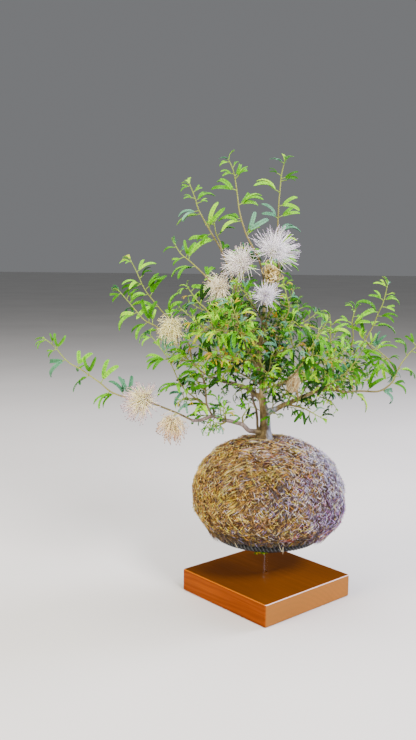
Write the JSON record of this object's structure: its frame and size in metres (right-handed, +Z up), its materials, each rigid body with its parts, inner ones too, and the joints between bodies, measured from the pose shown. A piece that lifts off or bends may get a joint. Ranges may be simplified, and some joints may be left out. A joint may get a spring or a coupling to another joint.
{
  "type": "kokedama moss ball plant",
  "caption": "Small shrub with paired feathery leaves and cream powder-puff flowers, growing from a fibre-bound moss ball on a corded dish above a square wooden block.",
  "frame": {"origin": "centre of the wooden block's underside, on the surface that it stands on", "axes": "+Z up along the plant; -Y to the viewer of the picture and +X to its right; the block is turned about Z so that a corner points to the front"},
  "size_m": [0.4155, 0.2191, 0.4695],
  "materials": {
    "block_wood": "satin varnish over dark brown grain",
    "clear": "clear, polished",
    "dish": "satin black",
    "cord": "twisted, slightly shiny",
    "ball_fibre": "dry wound fibre, rough",
    "bark": "rough, matte bark",
    "leaf": "soft satin leaf",
    "stamen": "fine matte threads",
    "dried": "dry, matte"
  },
  "bodies": {
    "root": {"wooden_block": "block_wood", "clear_rod": "clear", "dish": "dish", "cord_ring": "cord", "moss_ball": "ball_fibre", "woody_stems": "bark", "flower_puff_1": "stamen", "flower_puff_2": "stamen", "flower_puff_3": "stamen", "flower_puff_4": "stamen", "flower_puff_5": "stamen", "flower_puff_6": "stamen", "flower_puff_7": "stamen", "dried_flower_1": "dried", "dried_flower_2": "dried", "shoot_top_left": "leaf", "shoot_top_right": "leaf", "shoot_upper_left": "leaf", "shoot_left_high": "leaf", "shoot_left_tall": "leaf", "shoot_left_long": "leaf", "shoot_left_inner": "leaf", "shoot_left_back": "leaf", "shoot_low_sprig": "leaf", "shoot_right_tall": "leaf", "shoot_right_long": "leaf", "shoot_right_middle": "leaf", "shoot_right_low": "leaf", "shoot_right_inner": "leaf", "shoot_middle_front": "leaf", "shoot_front_right": "leaf", "shoot_front_left": "leaf", "shoot_back_right": "leaf", "shoot_back_left": "leaf", "shoot_right_back": "leaf", "shoot_right_front": "leaf", "shoot_left_front": "leaf", "shoot_upper_back": "leaf", "shoot_crown_back": "leaf", "shoot_inner_1": "leaf", "shoot_inner_2": "leaf", "shoot_inner_3": "leaf", "shoot_inner_4": "leaf", "shoot_inner_5": "leaf", "shoot_inner_6": "leaf", "shoot_inner_7": "leaf", "shoot_inner_8": "leaf", "shoot_inner_9": "leaf", "shoot_inner_10": "leaf", "shoot_inner_11": "leaf"}
  },
  "joints": []
}
